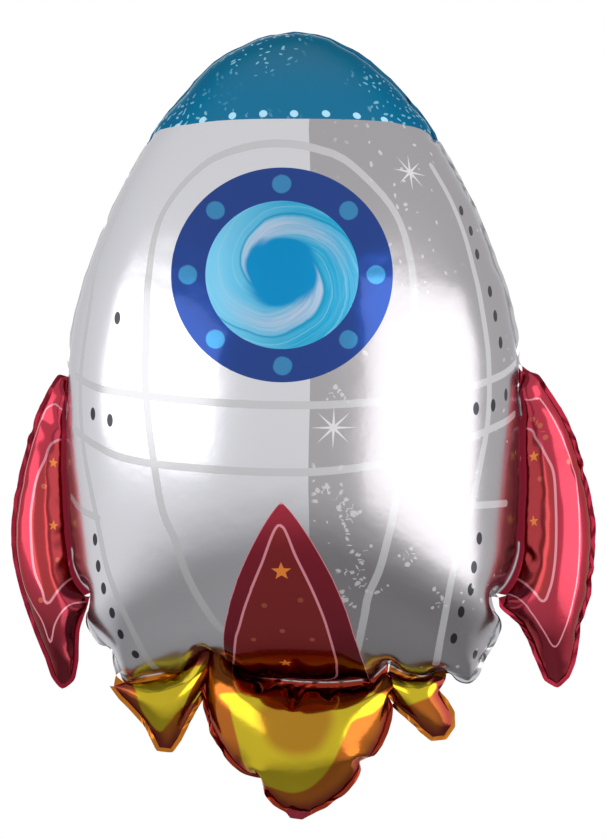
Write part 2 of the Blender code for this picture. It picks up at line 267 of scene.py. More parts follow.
def cut_half(z):
    """Half width of the flat body, before CUT_WIDER and CUT_TALLER."""
    end = TOP_Z if z >= CUT_WIDEST_Z else ROUND_BASE_Z
    share = min(1.0, (z - CUT_WIDEST_Z) / (end - CUT_WIDEST_Z))
    return HALF_WIDTH * (1 - share ** CUT_POWERS[0]) ** CUT_POWERS[1]


def cut_crease(x):
    """Height of the flat body's lower edge."""
    return CUT_TALLER * CREASE_Z - CREASE_SAG * (1 - (x / (CUT_WIDER * cut_half(CREASE_Z))) ** 2)


def body_line():
    """The flat body's outline: up and down the right side, along the crease, and up the left side."""
    heights = [CUT_WIDEST_Z + (TOP_Z - CUT_WIDEST_Z) * math.sin(math.pi / 2 * k / UPPER_STEPS)
               for k in range(UPPER_STEPS, 0, -1)]
    heights += [CUT_WIDEST_Z + (CREASE_Z - CUT_WIDEST_Z) * k / LOWER_STEPS for k in range(LOWER_STEPS + 1)]
    right = [(CUT_WIDER * cut_half(z), CUT_TALLER * z) for z in heights]
    corner = right[-1][0]
    across = [corner * (1 - k / CREASE_STEPS) for k in range(1, 2 * CREASE_STEPS)]
    base = [(x, cut_crease(x)) for x in across]
    left = [(-x, z) for x, z in reversed(right)]
    return Line(right + base + left[:-1])


def fin_line(sign):
    """A side fin's outline on the flat film; sign is -1 for the left one."""
    inner, outer = [], []
    for z, near, *far in FIN:
        edge = filled_half(z)
        side = CUT_WIDER * cut_half(z) + WEB
        start = side + FIN_WIDER[sign] * max(0.0, near - edge)
        end = max(side + FIN_WIDER[sign] * (far[sign > 0] - edge), start + FIN_THINNEST)
        inner.append((sign * start, CUT_TALLER * z))
        outer.append((sign * end, CUT_TALLER * z))
    return Line(outer + inner[::-1]).rounded()


def flame_line(rows):
    """A flame's outline under the crease, from rows of z and the two x."""
    left, right = [], []
    for z, low, high in rows:
        drop = FLAME_TALLER * (rows[0][0] - z)
        left.append((CUT_WIDER * low, cut_crease(CUT_WIDER * low) - WEB - drop))
        right.append((CUT_WIDER * high, cut_crease(CUT_WIDER * high) - WEB - drop))
    start, end = left[0][0], right[0][0]
    top = [start + (end - start) * k / FLAME_TOP_STEPS for k in range(1, FLAME_TOP_STEPS)]
    return Line(right + left[::-1] + [(x, cut_crease(x) - WEB) for x in top]).rounded(1)


def centre_flame_rows():
    """The big flame as filled: a blunt heart whose tip leans to the right."""
    rows = []
    for k in range(FLAME_ROWS):
        z = FLAME_TOP_Z - (FLAME_TOP_Z - FLAME_TIP_Z) * k / (FLAME_ROWS - 1)
        drop = (FLAME_TOP_Z - z) / FLAME_TOP_Z
        half = FLAME_HALF_WIDTH * (1 - drop ** FLAME_POWERS[0]) ** FLAME_POWERS[1]
        middle = FLAME_X + FLAME_LEAN * drop**3
        rows.append((z, middle - half, middle + half))
    return rows


def neck_line():
    """The filling neck: a tab that stays single, from inside the big flame's tip."""
    x = CUT_WIDER * (FLAME_X + FLAME_LEAN)
    tip = cut_crease(x) - WEB - FLAME_TALLER * (FLAME_TOP_Z - FLAME_TIP_Z)
    low = tip - NECK_LENGTH
    half = NECK_HALF_WIDTH
    return Line([(x - half, tip + 0.003), (x - 0.8 * half, low + 0.004), (x - 0.4 * half, low),
                 (x + 0.5 * half, low + 0.001), (x + 0.9 * half, low + 0.005), (x + half, tip + 0.003)])


LOBES = {
    "body": body_line(),
    "fin_left": fin_line(-1),
    "fin_right": fin_line(1),
    "flame_left": flame_line(LEFT_FLAME),
    "flame_centre": flame_line(centre_flame_rows()),
    "flame_right": flame_line(RIGHT_FLAME),
}
LOBE_NAMES = list(LOBES)
WELD, NECK = -1, -2


def ring_line(share=1.0, steps=72):
    """The ring's outline, or one at a share of its radii."""
    (x, z), (wide, tall) = RING_CENTRE, RING_RADII
    turns = [2 * math.pi * k / steps for k in range(steps)]
    return Line([(x + share * wide * math.cos(t), z + share * tall * math.sin(t)) for t in turns])


def nose_height(x):
    return NOSE_LINE[0] + NOSE_LINE[1] * x * x


def arch_half(z):
    """Half width of the printed centre fin at a flat height."""
    base = cut_crease(ARCH_X)
    share = min(1.0, max(0.0, (ARCH_TOP - z) / (ARCH_TOP - base)))
    return ARCH_HALF_WIDTH * math.sin(math.pi / 2 * share ** 0.8)


def field_lines():
    """The borders between the printed fields of the body."""
    wide, steps = 0.3, 60
    across = [-wide + 2 * wide * k / steps for k in range(steps + 1)]
    nose = [(x, nose_height(x)) for x in across]
    past_crease, steps = 0.003, 24
    heights = [ARCH_TOP + (cut_crease(ARCH_X) - past_crease - ARCH_TOP) * (k / steps) ** 1.5
               for k in range(steps + 1)]
    left = [(ARCH_X - arch_half(z), z) for z in heights]
    right = [(ARCH_X + arch_half(z), z) for z in heights]
    return {
        "nose": Line(nose, closed=False),
        "porthole_ring": ring_line(),
        "porthole_pane": ring_line(PANE_SHARE),
        "centre_fin": Line(left[::-1] + right[1:], closed=False),
    }


def cross(a, b):
    return a[:, 0] * b[:, 1] - a[:, 1] * b[:, 0]


def flange_points(lines):
    """Points FLANGE outside the lobes, where no other lobe is near."""
    rim = []
    for line in lines:
        p = line.points
        along = np.roll(p, -1, axis=0) - np.roll(p, 1, axis=0)
        along /= np.linalg.norm(along, axis=1)[:, None]
        turn = np.sign(cross(p, np.roll(p, -1, axis=0)).sum())
        rim.append(p + turn * FLANGE * np.stack([along[:, 1], -along[:, 0]], axis=1))
    rim = np.vstack(rim)
    clear = nearest(lines, rim) > FLANGE_CLEAR * FLANGE
    for line in lines:
        clear &= ~line.contains(rim)
    kept = []
    for point in rim[clear]:
        if all(math.dist(point, other) > POINTS_CLEAR * EDGE for other in kept):
            kept.append(tuple(point))
    return kept


def lay_out():
    """The flat film: its points, its triangles and each triangle's lobe (an index, WELD or NECK)."""
    lobes = [line.spaced(EDGE) for line in LOBES.values()]
    fields = [line.spaced(EDGE) for line in field_lines().values()]
    neck = neck_line()
    fixed, edges = [], []
    for line in lobes + fields:
        start, count = len(fixed), len(line.points)
        fixed += [tuple(p) for p in line.points]
        edges += [(start + i, start + (i + 1) % count) for i in range(count if line.closed else count - 1)]
    every = np.vstack([line.points for line in lobes])
    low, high = every.min(axis=0), every.max(axis=0)
    grid = []
    for row, z in enumerate(np.arange(low[1], high[1], EDGE * math.sqrt(3) / 2)):
        shift = EDGE / 2 if row % 2 else 0
        grid += [(x + shift, z) for x in np.arange(low[0], high[0], EDGE)]
    grid = np.array(grid)
    within = np.any([line.contains(grid) for line in lobes], axis=0)
    grid = grid[within & (nearest(lobes + fields, grid) > GRID_CLEAR * EDGE)]
    points = fixed + flange_points(lobes) + [tuple(p) for p in neck.points] + [tuple(p) for p in grid]
    made = delaunay_2d_cdt([Vector(p) for p in points], edges, [], 0, 1e-7)
    flat = np.array([tuple(v) for v in made[0]])
    faces = np.array([list(f) for f in made[2]])
    middle = flat[faces].mean(axis=1)
    lobe = np.full(len(faces), WELD)
    for k, line in enumerate(lobes):
        lobe[line.contains(middle)] = k
    lobe[(lobe == WELD) & neck.contains(middle)] = NECK
    keep = (lobe != WELD) | (nearest(lobes, middle) < FLANGE_KEPT * FLANGE)
    used, faces = np.unique(faces[keep], return_inverse=True)
    faces = faces.reshape(-1, 3)
    flat = flat[used]
    turned = cross(flat[faces[:, 1]] - flat[faces[:, 0]], flat[faces[:, 2]] - flat[faces[:, 0]]) < 0
    faces[turned] = faces[turned][:, ::-1]
    return flat, faces, lobe[keep]


def own_lobe(points):
    """The index of the lobe that each flat point lies in or is nearest to."""
    away = np.stack([np.where(line.contains(points), 0, line.distance(points)) for line in LOBES.values()])
    return away.argmin(axis=0)


def edges_of(faces):
    return np.sort(np.vstack([faces[:, [0, 1]], faces[:, [1, 2]], faces[:, [2, 0]]]), axis=1)


class Film:
    """Two films on one flat pattern: they share the points on the weld, and the others are doubled."""

    def __init__(self, flat, faces, lobe):
        self.flat, self.faces, self.lobe = flat, faces, lobe
        welded = np.zeros(len(flat), bool)
        welded[faces[lobe < 0].ravel()] = True
        pairs, count = np.unique(edges_of(faces), axis=0, return_counts=True)
        welded[pairs[count == 1].ravel()] = True
        self.free = ~welded
        self.back = np.arange(len(flat))
        self.back[self.free] = len(flat) + np.arange(self.free.sum())
        self.front_faces = faces[lobe >= 0]
        self.back_faces = self.back[self.front_faces][:, ::-1]
        self.single_faces = faces[lobe < 0]
        self.blown_lobe, self.single_lobe = lobe[lobe >= 0], lobe[lobe < 0]
        self.blown = np.vstack([self.front_faces, self.back_faces])
        self.all_faces = np.vstack([self.blown, self.single_faces])
        self.cut = np.vstack([flat, flat[self.free]])

    def halved(self, place):
        """The same film with every edge halved, and where its points are."""
        pairs, which = np.unique(edges_of(self.faces), axis=0, return_inverse=True)
        a, b, c = which.reshape(3, -1) + len(self.flat)
        f = self.faces
        faces = np.vstack([np.stack([f[:, 0], a, c], 1), np.stack([a, f[:, 1], b], 1),
                           np.stack([c, b, f[:, 2]], 1), np.stack([a, b, c], 1)])
        film = Film(np.vstack([self.flat, self.flat[pairs].mean(axis=1)]), faces, np.tile(self.lobe, 4))
        front = np.vstack([place[:len(self.flat)], place[pairs].mean(axis=1)])
        back = np.vstack([place[self.back], place[self.back[pairs]].mean(axis=1)])
        return film, np.vstack([front, back[film.free]])

    def neighbours(self):
        """Each point's neighbours and the cut lengths to them, padded with itself, and their count."""
        pairs = np.unique(edges_of(self.all_faces), axis=0)
        ends = np.vstack([pairs, pairs[:, ::-1]])
        ends = ends[np.argsort(ends[:, 0], kind="stable")]
        count = np.bincount(ends[:, 0], minlength=len(self.cut))
        rank = np.arange(len(ends)) - np.repeat(np.cumsum(count) - count, count)
        near = np.tile(np.arange(len(self.cut)), (count.max(), 1))
        near[rank, ends[:, 0]] = ends[:, 1]
        length = np.zeros(near.shape, np.float32)
        length[rank, ends[:, 0]] = np.linalg.norm(self.cut[ends[:, 0]] - self.cut[ends[:, 1]], axis=1)
        return near, length, count.astype(np.float32)

    def looseness(self):
        """0 on the tight upper body, up to 1 on the most puckered lobes."""
        low, high = LOOSE_BODY_Z
        lobe = own_lobe(self.cut)
        loose = np.array([LOOSE[name] for name in LOBE_NAMES])[lobe]
        tight = np.clip((self.cut[:, 1] - low) / (high - low), 0, 1)
        return np.where(lobe == 0, loose * (1 - tight), loose).astype(np.float32)


def blow(film, place, steps, strain, slack, smooth, drag):
    """Pump the film up: pressure, edges that hold their length, little stiffness when they are pressed.

    A sixth of the cross product of a triangle's sides is each corner's share of its area."""
    near, length, count = film.neighbours()
    x = np.ascontiguousarray(place.T, dtype=np.float32)
    speed = np.zeros_like(x)
    spacing = float(np.median(length[0]))
    corners = film.blown
    order = np.argsort(corners.ravel(), kind="stable")
    owner, first = np.unique(corners.ravel()[order], return_index=True)
    face_of = order // 3
    faces = film.all_faces
    area = np.abs(cross(film.cut[faces[:, 1]] - film.cut[faces[:, 0]],
                        film.cut[faces[:, 2]] - film.cut[faces[:, 0]])) / 2
    share = np.bincount(faces.ravel(), np.repeat(area / 3, 3), len(film.cut))
    push = strain * ROUNDS * spacing**2 / (2 * PUMPED_RADIUS)
    lift = (push / 6 / share[owner]).astype(np.float32)
    weight = (PULL / count).astype(np.float32)
    loose = film.looseness()
    slack = (slack[0] + (slack[1] - slack[0]) * loose).astype(np.float32)
    smooth = (smooth[0] + (smooth[1] - smooth[0]) * loose).astype(np.float32)
    held = np.float32(1)
    for _ in range(steps):
        a, b, c = (x.take(corners[:, k], axis=1) for k in range(3))
        u, v = b - a, c - a
        normal = np.stack([u[1] * v[2] - u[2] * v[1], u[2] * v[0] - u[0] * v[2], u[0] * v[1] - u[1] * v[0]])
        before = x
        x = x + np.float32(drag) * speed
        x[:, owner] += lift * np.add.reduceat(normal.take(face_of, axis=1), first, axis=1)
        for _ in range(ROUNDS):
            move = np.zeros_like(x)
            for k in range(len(near)):
                d = x.take(near[k], axis=1)
                d -= x
                span = np.sqrt(d[0] * d[0] + d[1] * d[1] + d[2] * d[2]) + np.float32(1e-9)
                pull = 1 - length[k] / span
                pull *= np.where(pull < 0, slack, held)
                pull *= length[k] > 0
                d *= pull
                move += d
            x += weight * move
        bend = (sum(x.take(n, axis=1) for n in near) - len(near) * x) / count
        again = sum(bend.take(n, axis=1) for n in near) - len(near) * bend
        x -= smooth * again / count
        speed = x - before
    return x.T.astype(float)


def blow_up():
    """The filled film, before it is fitted to the frame."""
    film = Film(*lay_out())
    random = np.random.default_rng(SEED)
    place = np.zeros((len(film.cut), 3))
    place[:, 0], place[:, 2] = film.cut[:, 0], film.cut[:, 1]
    place[:len(film.flat)][film.free, 1] = -FILMS_APART
    place[len(film.flat):, 1] = FILMS_APART
    levels = LEVELS
    for k, level in enumerate(levels):
        if k:
            film, place = film.halved(place)
        place = place + random.normal(0, SCATTER[k], place.shape)
        for _ in range(level["runs"]):
            settings = {key: value for key, value in level.items() if key != "runs"}
            place = blow(film, place, **settings)
    return film, place


def ironed(film, place):
    """Take the waves out of the body's seam where the film is tight; the film near it moves along."""
    body = LOBES["body"]
    line = body.spaced(IRON_SPACING)
    steps = np.arange(len(line.points))
    at = np.empty(len(film.cut), int)
    far = np.empty(len(film.cut))
    for start in range(0, len(at), AT_ONCE):
        away = np.linalg.norm(film.cut[start:start + AT_ONCE, None] - line.points[None], axis=-1)
        at[start:start + AT_ONCE] = away.argmin(axis=1)
        far[start:start + AT_ONCE] = away.min(axis=1)
    off_line = body.distance(film.cut)
    on_line = np.flatnonzero(off_line < ON_LINE)
    on_line = on_line[np.argsort(at[on_line], kind="stable")]
    wave = np.stack([np.interp(steps, at[on_line], place[on_line, k]) for k in range(3)], axis=1)
    calm = wave.copy()
    for _ in range(IRON_ROUNDS):
        calm = (np.roll(calm, 1, axis=0) + 2 * calm + np.roll(calm, -1, axis=0)) / 4
    share = np.clip((film.cut[:, 1] - IRON_Z[0]) / (IRON_Z[1] - IRON_Z[0]), 0, 1)
    inward = np.where(body.contains(film.cut), far, 0.0)
    share *= np.clip(1 - inward / IRON_REACH, 0, 1) ** 2
    place = place + share[:, None] * (calm - wave)[at]
    flange = np.flatnonzero((share > 0) & (inward == 0) & (off_line > ON_LINE))
    near, _, count = film.neighbours()
    for _ in range(IRON_FLANGE_ROUNDS):
        total = place[near[:, flange]].sum(axis=0) - (len(near) - count[flange])[:, None] * place[flange]
        middle = total / count[flange][:, None]
        place[flange] += 0.5 * share[flange, None] * (middle - place[flange])
    return place


def fit_heights(place, body):
    """Bring the body's top, the crease and the tip to the frame's heights."""
    z = place[:, 2].copy()
    low = z[body][np.abs(place[body, 0]) < AXIS_REACH].min()
    high = z[body].max()
    bottom = z.min()
    above = CREASE_Z + (z - low) * (TOP_Z - CREASE_Z) / (high - low)
    below = CREASE_Z * (z - bottom) / (low - bottom)
    place[:, 2] = np.where(z > low, above, below)


def fit_widths(place, seam):
    """Bring the body's sides to the frame's width at each height, as read along its seam."""
    read = []
    for level in np.linspace(CREASE_Z + SEAM_MARGINS[0], TOP_Z - SEAM_MARGINS[1], SEAM_LEVELS):
        row = place[seam[np.abs(place[seam, 2] - level) < SEAM_BAND], 0]
        row = row[np.abs(row) > SEAM_SHARE * filled_half(level)]
        if (row < 0).any() and (row > 0).any():
            read.append((level, row[row < 0].mean(), row[row > 0].mean()))
    heights, lefts, rights = np.array(read).T
    level = np.clip(place[:, 2], heights[0], heights[-1])
    left = np.polynomial.Polynomial.fit(heights, lefts, SEAM_DEGREE)(level)
    right = np.polynomial.Polynomial.fit(heights, rights, SEAM_DEGREE)(level)
    rim = FLANGE * (1 - 2 * np.clip((level - RIM_Z) / RIM_FADE, 0, 1))
    start, wider = NOSE_ROUNDER
    round_nose = 1 + wider * np.clip((level - start) / (TOP_Z - start), 0, 1) ** 2
    half = np.array([filled_half(z) for z in level]) * round_nose + rim
    across = place[:, 0] - (left + right) / 2
    reach = (right - left) / 2
    inside = np.abs(across) < reach
    place[:, 0] = np.where(inside, across * half / reach, across + np.sign(across) * (half - reach))


def fit_to_frame(film, place):
    """Move the film onto the frame's own heights, widths and depth by slow smooth shares."""
    place = place.copy()
    body = np.unique(film.blown[np.tile(film.blown_lobe == 0, 2)])
    fit_heights(place, body)
    seam = body[body < len(film.flat)]
    fit_widths(place, seam[~film.free[seam]])
    depth = (place[body, 1].max() - place[body, 1].min()) / 2
    place[:, 1] *= HALF_DEPTH / depth
    for name, angle in FIN_SWING.items():
        swing(film, place, LOBES[name], angle)
    return place


def swing(film, place, fin, angle):
    """Turn a fin backwards about the line of its weld to the body."""
    body = LOBES["body"]
    on_fin = ~body.contains(film.cut) & (fin.distance(film.cut) < 2 * FLANGE) | fin.contains(film.cut)
    share = np.clip(body.distance(film.cut) / (4 * WEB), 0, 1)
    share = share * share * (3 - 2 * share)
    turn = np.where(on_fin, angle * share, 0.0)
    sign = np.sign(fin.points[0, 0])
    hinge = sign * (FIN_HINGE[0] + FIN_HINGE[1] * (place[:, 2] - WIDEST_Z))
    reach = (place[:, 0] - hinge) * sign
    y = place[:, 1].copy()
    place[:, 0] = hinge + sign * (reach * np.cos(turn) - y * np.sin(turn))
    place[:, 1] = y * np.cos(turn) + reach * np.sin(turn)


FILM, BLOWN = blow_up()
PLACE = fit_to_frame(FILM, ironed(FILM, BLOWN))


# Where the photograph shows a print, found on the flat film

def view_axes():
    right = Vector((math.cos(VIEW_AZIMUTH), math.sin(VIEW_AZIMUTH), 0))
    forward = Vector((-math.sin(VIEW_AZIMUTH), math.cos(VIEW_AZIMUTH), 0))
    return right, forward


def camera_place():
    right, forward = view_axes()
    return VIEW_CENTRE[0] * right - VIEW_DISTANCE * forward + Vector((0, 0, VIEW_CENTRE[1]))


def front_tree():
    return BVHTree.FromPolygons([Vector(p) for p in PLACE], [tuple(f) for f in FILM.front_faces.tolist()])


def slide_porthole():
    """Slide the front film in itself near the porthole, so that the ring is seen as a smooth round."""
    right, forward = (np.array(v) for v in view_axes())
    eye = np.array(camera_place())
    tree = front_tree()
    front = np.unique(FILM.front_faces)
    flat = FILM.cut[front]
    u, v = (flat[:, 0] - RING_CENTRE[0]) / RING_RADII[0], (flat[:, 1] - RING_CENTRE[1]) / RING_RADII[1]
    radius, turn = np.hypot(u, v), np.arctan2(v, u)
    ray = PLACE[front] - eye
    seen = eye + ray * (VIEW_DISTANCE / (ray @ forward))[:, None]
    seen = np.stack([seen @ right, seen[:, 2]], axis=1)
    middle = np.array(SEEN_CENTRE)
    slides = []
    for share in (PANE_SHARE, 1.0):
        rim = np.abs(radius - share) < SLIDE_BAND
        order = np.argsort(turn[rim])
        angle = turn[rim][order]
        around = np.stack([np.cos(angle), np.sin(angle)], axis=1) * SEEN_RADII
        gap = middle + share * around - seen[rim][order]
        slide = [np.interp(turn, angle, gap[:, k], period=2 * math.pi) for k in range(2)]
        slides.append(np.stack(slide, axis=1))
    near_pane = np.clip((radius - SLIDE_START) / (PANE_SHARE - SLIDE_START), 0, 1)
    to_ring = np.clip((radius - PANE_SHARE) / (1 - PANE_SHARE), 0, 1)
    away = np.clip((SLIDE_END - radius) / (SLIDE_END - 1), 0, 1)
    move = (near_pane * (1 - to_ring))[:, None] * slides[0] + (to_ring * away)[:, None] * slides[1]
    for k in np.flatnonzero(radius < SLIDE_END):
        across, up = seen[k] + move[k]
        aim = Vector(across * right) + Vector((0, 0, up))
        hit, _, _, _ = tree.ray_cast(Vector(eye), aim - Vector(eye))
        if hit is not None:
            PLACE[front[k]] = hit


slide_porthole()
FRONT_TREE = front_tree()


def flat_at(across, up):
    """The flat film's point that is seen at a place, in millimetres from the origin of the view."""
    right, _ = view_axes()
    eye = camera_place()
    aim = across / 1000 * right + Vector((0, 0, up / 1000))
    hit, _, face, _ = FRONT_TREE.ray_cast(eye, aim - eye)
    if hit is None:
        hit, _, face, _ = FRONT_TREE.find_nearest(aim)
    corners = FILM.front_faces[face]
    filled = [Vector(PLACE[k]) for k in corners]
    flat = [Vector((*FILM.flat[k], 0)) for k in corners]
    return np.array(barycentric_transform(hit, *filled, *flat))[:2]


def printed(points, closed=False):
    """A smooth line on the flat film through places seen in the view."""
    return Line([flat_at(*point) for point in points], closed).curved()


# Prints, as places in the view: millimetres to the right of the axis and above the origin
UPRIGHT_LINES = (
    ((-66, 176), (-77, 189), (-99, 227), (-111, 262), (-124, 295), (-136, 374), (-138, 449), (-136, 506),
     (-123, 567), (-86, 612), (-50, 629), (-14, 634), (22, 629), (55, 614), (97, 567), (113, 506), (113, 441),
     (109, 398), (104, 344), (97, 301), (92, 275), (82, 236), (71, 210), (67, 190), (62, 165), (58, 150)),
    ((-137, 628), (-158, 585), (-173, 550), (-184, 520), (-191, 480), (-197, 440), (-200, 400), (-197, 350),
     (-190, 310), (-183, 275), (-176, 240), (-166, 210), (-148, 171), (-129, 141)),
    ((130, 613), (148, 581), (162, 545), (172, 507), (179, 470), (184, 425), (182, 365), (168, 294),
     (155, 250), (147, 215), (139, 171), (134, 145)),
)
LEVEL_LINES = (
    ((-204, 416), (-185, 405), (-161, 400), (-91, 392), (3, 388), (97, 393), (154, 402), (186, 412),
     (200, 419), (209, 428)),
    ((-204, 365), (-186, 351), (-157, 338), (-91, 329), (8, 325), (97, 335), (140, 348), (186, 366),
     (200, 373), (208, 380)),
    ((-208, 302), (-200, 291), (-183, 282)),
    ((172, 294), (200, 296)),
)
SIDE_DOTS = (
    (158, 571), (167, 552), (173, 530), (185, 495), (190, 472), (195, 447), (200, 398), (188, 388),
    (172, 385), (175, 263), (170, 236), (167, 215), (158, 194), (151, 169), (171, 154),
    (-165, 470), (-188, 380), (-172, 374), (-186, 262), (-183, 237), (-178, 216), (-170, 193),
    (-162, 173), (-148, 154),
)
NOSE_DOTS = (
    (-126, 642), (-109, 650), (-85, 656), (-57, 660), (-28, 662), (1, 662), (31, 662), (60, 660),
    (86, 656), (109, 647),
)
SIDE_DOT_HALVES = (0.0060, 0.0036)      # half length and half width on the flat film, in metres
NOSE_DOT_HALVES = (0.0042, 0.0036)
FIN_DOT_HALVES = (0.0026, 0.0026)
RIVET_COUNT = 8
RIVET_PITCH = 0.845         # of the ring's radii
RIVET_RADIUS = 0.0083

# Sparkles, splashes and stars have their radius in millimetres as a third number
SPARKLES = ((38, 367, 19), (110, 607, 19))
SPLASHES = (
    (23, 308, 3.9), (32, 313, 3.6), (34, 306, 3.0), (50, 299, 4.2), (43, 292, 5.1), (56, 285, 6.3),
    (63, 288, 3.6), (45, 284, 2.7), (47, 277, 3.0), (51, 271, 3.9), (51, 262, 4.5), (73, 256, 3.6),
    (55, 250, 4.8), (62, 247, 3.3), (64, 240, 5.1), (55, 231, 4.5), (43, 232, 5.4), (67, 226, 3.0),
    (61, 221, 5.7), (69, 213, 3.6), (79, 212, 4.8), (46, 213, 5.1), (49, 205, 6.0), (58, 199, 3.9),
    (111, 253, 3.9), (115, 245, 3.3), (108, 239, 4.5), (133, 215, 3.9), (140, 207, 4.8), (144, 200, 3.6),
    (131, 198, 3.0), (40, 405, 4.5), (46, 398, 3.6), (32, 394, 3.0), (52, 391, 3.3), (150, 331, 3.3),
    (158, 322, 3.9), (163, 341, 3.0), (89, 219, 3.0), (100, 247, 2.7),
)
FIN_PRINTS = {
    "centre_fin": {
        "panel": ((-13, 276), (-30, 238), (-43, 205), (-50, 182), (-55, 158), (-56, 144), (-49, 131),
                  (-7, 130), (36, 131), (41, 144), (38, 158), (31, 182), (20, 210), (3, 245)),
        "stars": ((-11, 232, 9.0), (-7, 146, 7.0)),
        "dots": ((-27, 200), (7, 205), (-10, 176), (-37, 168), (18, 168)),
    },
    "fin_left": {
        "outline": ((-208, 362), (-212, 372), (-217, 384), (-222, 389), (-227, 388), (-234, 380), (-245, 350),
                    (-252, 320), (-257, 290), (-259, 255), (-253, 220), (-243, 185), (-234, 161), (-223, 184),
                    (-211, 200), (-196, 215)),
        "panel": ((-195, 356), (-217, 356), (-224, 354), (-233, 337), (-241, 318), (-246, 290), (-246, 262),
                  (-243, 233), (-236, 215), (-230, 202), (-212, 223), (-190, 240)),
        "stars": ((-225, 334, 5.5), (-225, 275, 5.5)),
        "dots": ((-234, 312), (-221, 243), (-237, 205)),
    },
    "fin_right": {
        "outline": ((190, 396), (223, 393), (230, 396), (244, 376), (254, 355), (262, 332), (266, 318),
                    (269, 280), (268, 235), (262, 200), (255, 177), (246, 161), (236, 175), (224, 193),
                    (210, 208), (185, 222)),
        "panel": ((190, 367), (216, 367), (228, 357), (238, 340), (245, 323), (247, 290), (247, 257),
                  (245, 233), (241, 215), (234, 204), (219, 220), (190, 244)),
        "stars": ((226, 340, 6.0), (226, 279, 6.0)),
        "dots": ((225, 375), (232, 369), (237, 358), (259, 335), (232, 319), (224, 246)),
    },
}
ARCH_SHADE_RISE = 0.16         # height over which painted shade takes the centre fin from bright to deep crimson towards the crease
FIN_PAINTED_SHADE = {"fin_left": 1.0, "fin_right": 0.5}      # how dark the painted shade on the side fins' lower parts gets
FIN_SHADE_Z = 0.275          # flat height under which painted shade darkens the side fins, and over how much height
FIN_SHADE_RISE = 0.07
FLAME_HEARTS = {
    "flame_left": ((-150, 128), (-147, 118), (-140, 98), (-131, 76), (-118, 88), (-104, 104), (-88, 114),
                   (-80, 128)),
    "flame_centre": ((-62, 118), (-59, 102), (-51, 69), (-34, 42), (-17, 28), (1, 24), (19, 31), (36, 50),
                     (49, 78), (57, 92), (78, 101), (78, 118)),
    "flame_right": ((92, 128), (94, 112), (104, 106), (118, 110), (130, 116), (131, 128)),
}
AMBER = ((-25, 104), (-21, 76), (-1, 64), (23, 70), (30, 102))      # in the middle of the big flame's heart
NO_AMBER = 0.1              # a distance that is far from any amber

# The lights and the floor
SOFTBOX_DISTANCE = 1.8
WORLD_FADE = (-42, -22)     # degrees under the horizon between which the world goes from grey to white
WORLD_LOW_GREY = 0.25
FLOOR_Z = -1.6
FLOOR_RADIUS = 2.5
FLOOR_GREYS = (0.29, 0.29, 0.29), (0.34, 0.34, 0.34)


def operation(kind, itself_last=False):
    """A method of Value that adds a Math node of one kind."""
    def method(self, *others):
        return self.tree.math(kind, *((*others, self) if itself_last else (self, *others)))
    return method


class Value:
    """What an output of a node gives. Each sum with it adds a node, and a | b is the larger of two."""

    def __init__(self, tree, socket):
        self.tree, self.socket = tree, socket

    __add__ = __radd__ = operation("ADD")
    __mul__ = __rmul__ = operation("MULTIPLY")
    __sub__ = operation("SUBTRACT")
    __rsub__ = operation("SUBTRACT", itself_last=True)
    __truediv__ = operation("DIVIDE")
    __mod__ = operation("MODULO")
    __abs__ = operation("ABSOLUTE")
    __or__ = operation("MAXIMUM")
    root = operation("SQRT")
    sine = operation("SINE")
    cosine = operation("COSINE")
    fraction = operation("FRACT")

    def below(self, limit, soft=0.0003):
        """1 where the value is under a limit, with a soft edge."""
        return self.tree.output(0, "ShaderNodeMapRange", self, limit - soft, limit + soft, 1.0, 0.0,
                                interpolation_type="SMOOTHSTEP")

    def above(self, limit, soft=0.0003):
        return 1.0 - self.below(limit, soft)


class Tree:
    """Adds nodes to a node tree."""

    def __init__(self, tree):
        self.tree = tree

    def put(self, socket, value):
        """Link a value to a socket, or set the socket to a constant."""
        if isinstance(value, Value):
            self.tree.links.new(value.socket, socket)
        elif value is not None:
            socket.default_value = (*value, 1.0) if socket.type == "RGBA" else value

    def node(self, kind, *inputs, **settings):
        """A new node with its first inputs given; None leaves an input as it is."""
        node = self.tree.nodes.new(kind)
        for key, value in settings.items():
            setattr(node, key, value)
        for socket, value in zip(node.inputs, inputs):
            self.put(socket, value)
        return node

    def output(self, which, kind, *inputs, **settings):
        """One output of a new node, by its number or its name."""
        return Value(self, self.node(kind, *inputs, **settings).outputs[which])

    def math(self, kind, *values):
        return self.output(0, "ShaderNodeMath", *values, operation=kind)

    def parts(self, vector):
        return [Value(self, socket) for socket in self.node("ShaderNodeSeparateXYZ", vector).outputs]


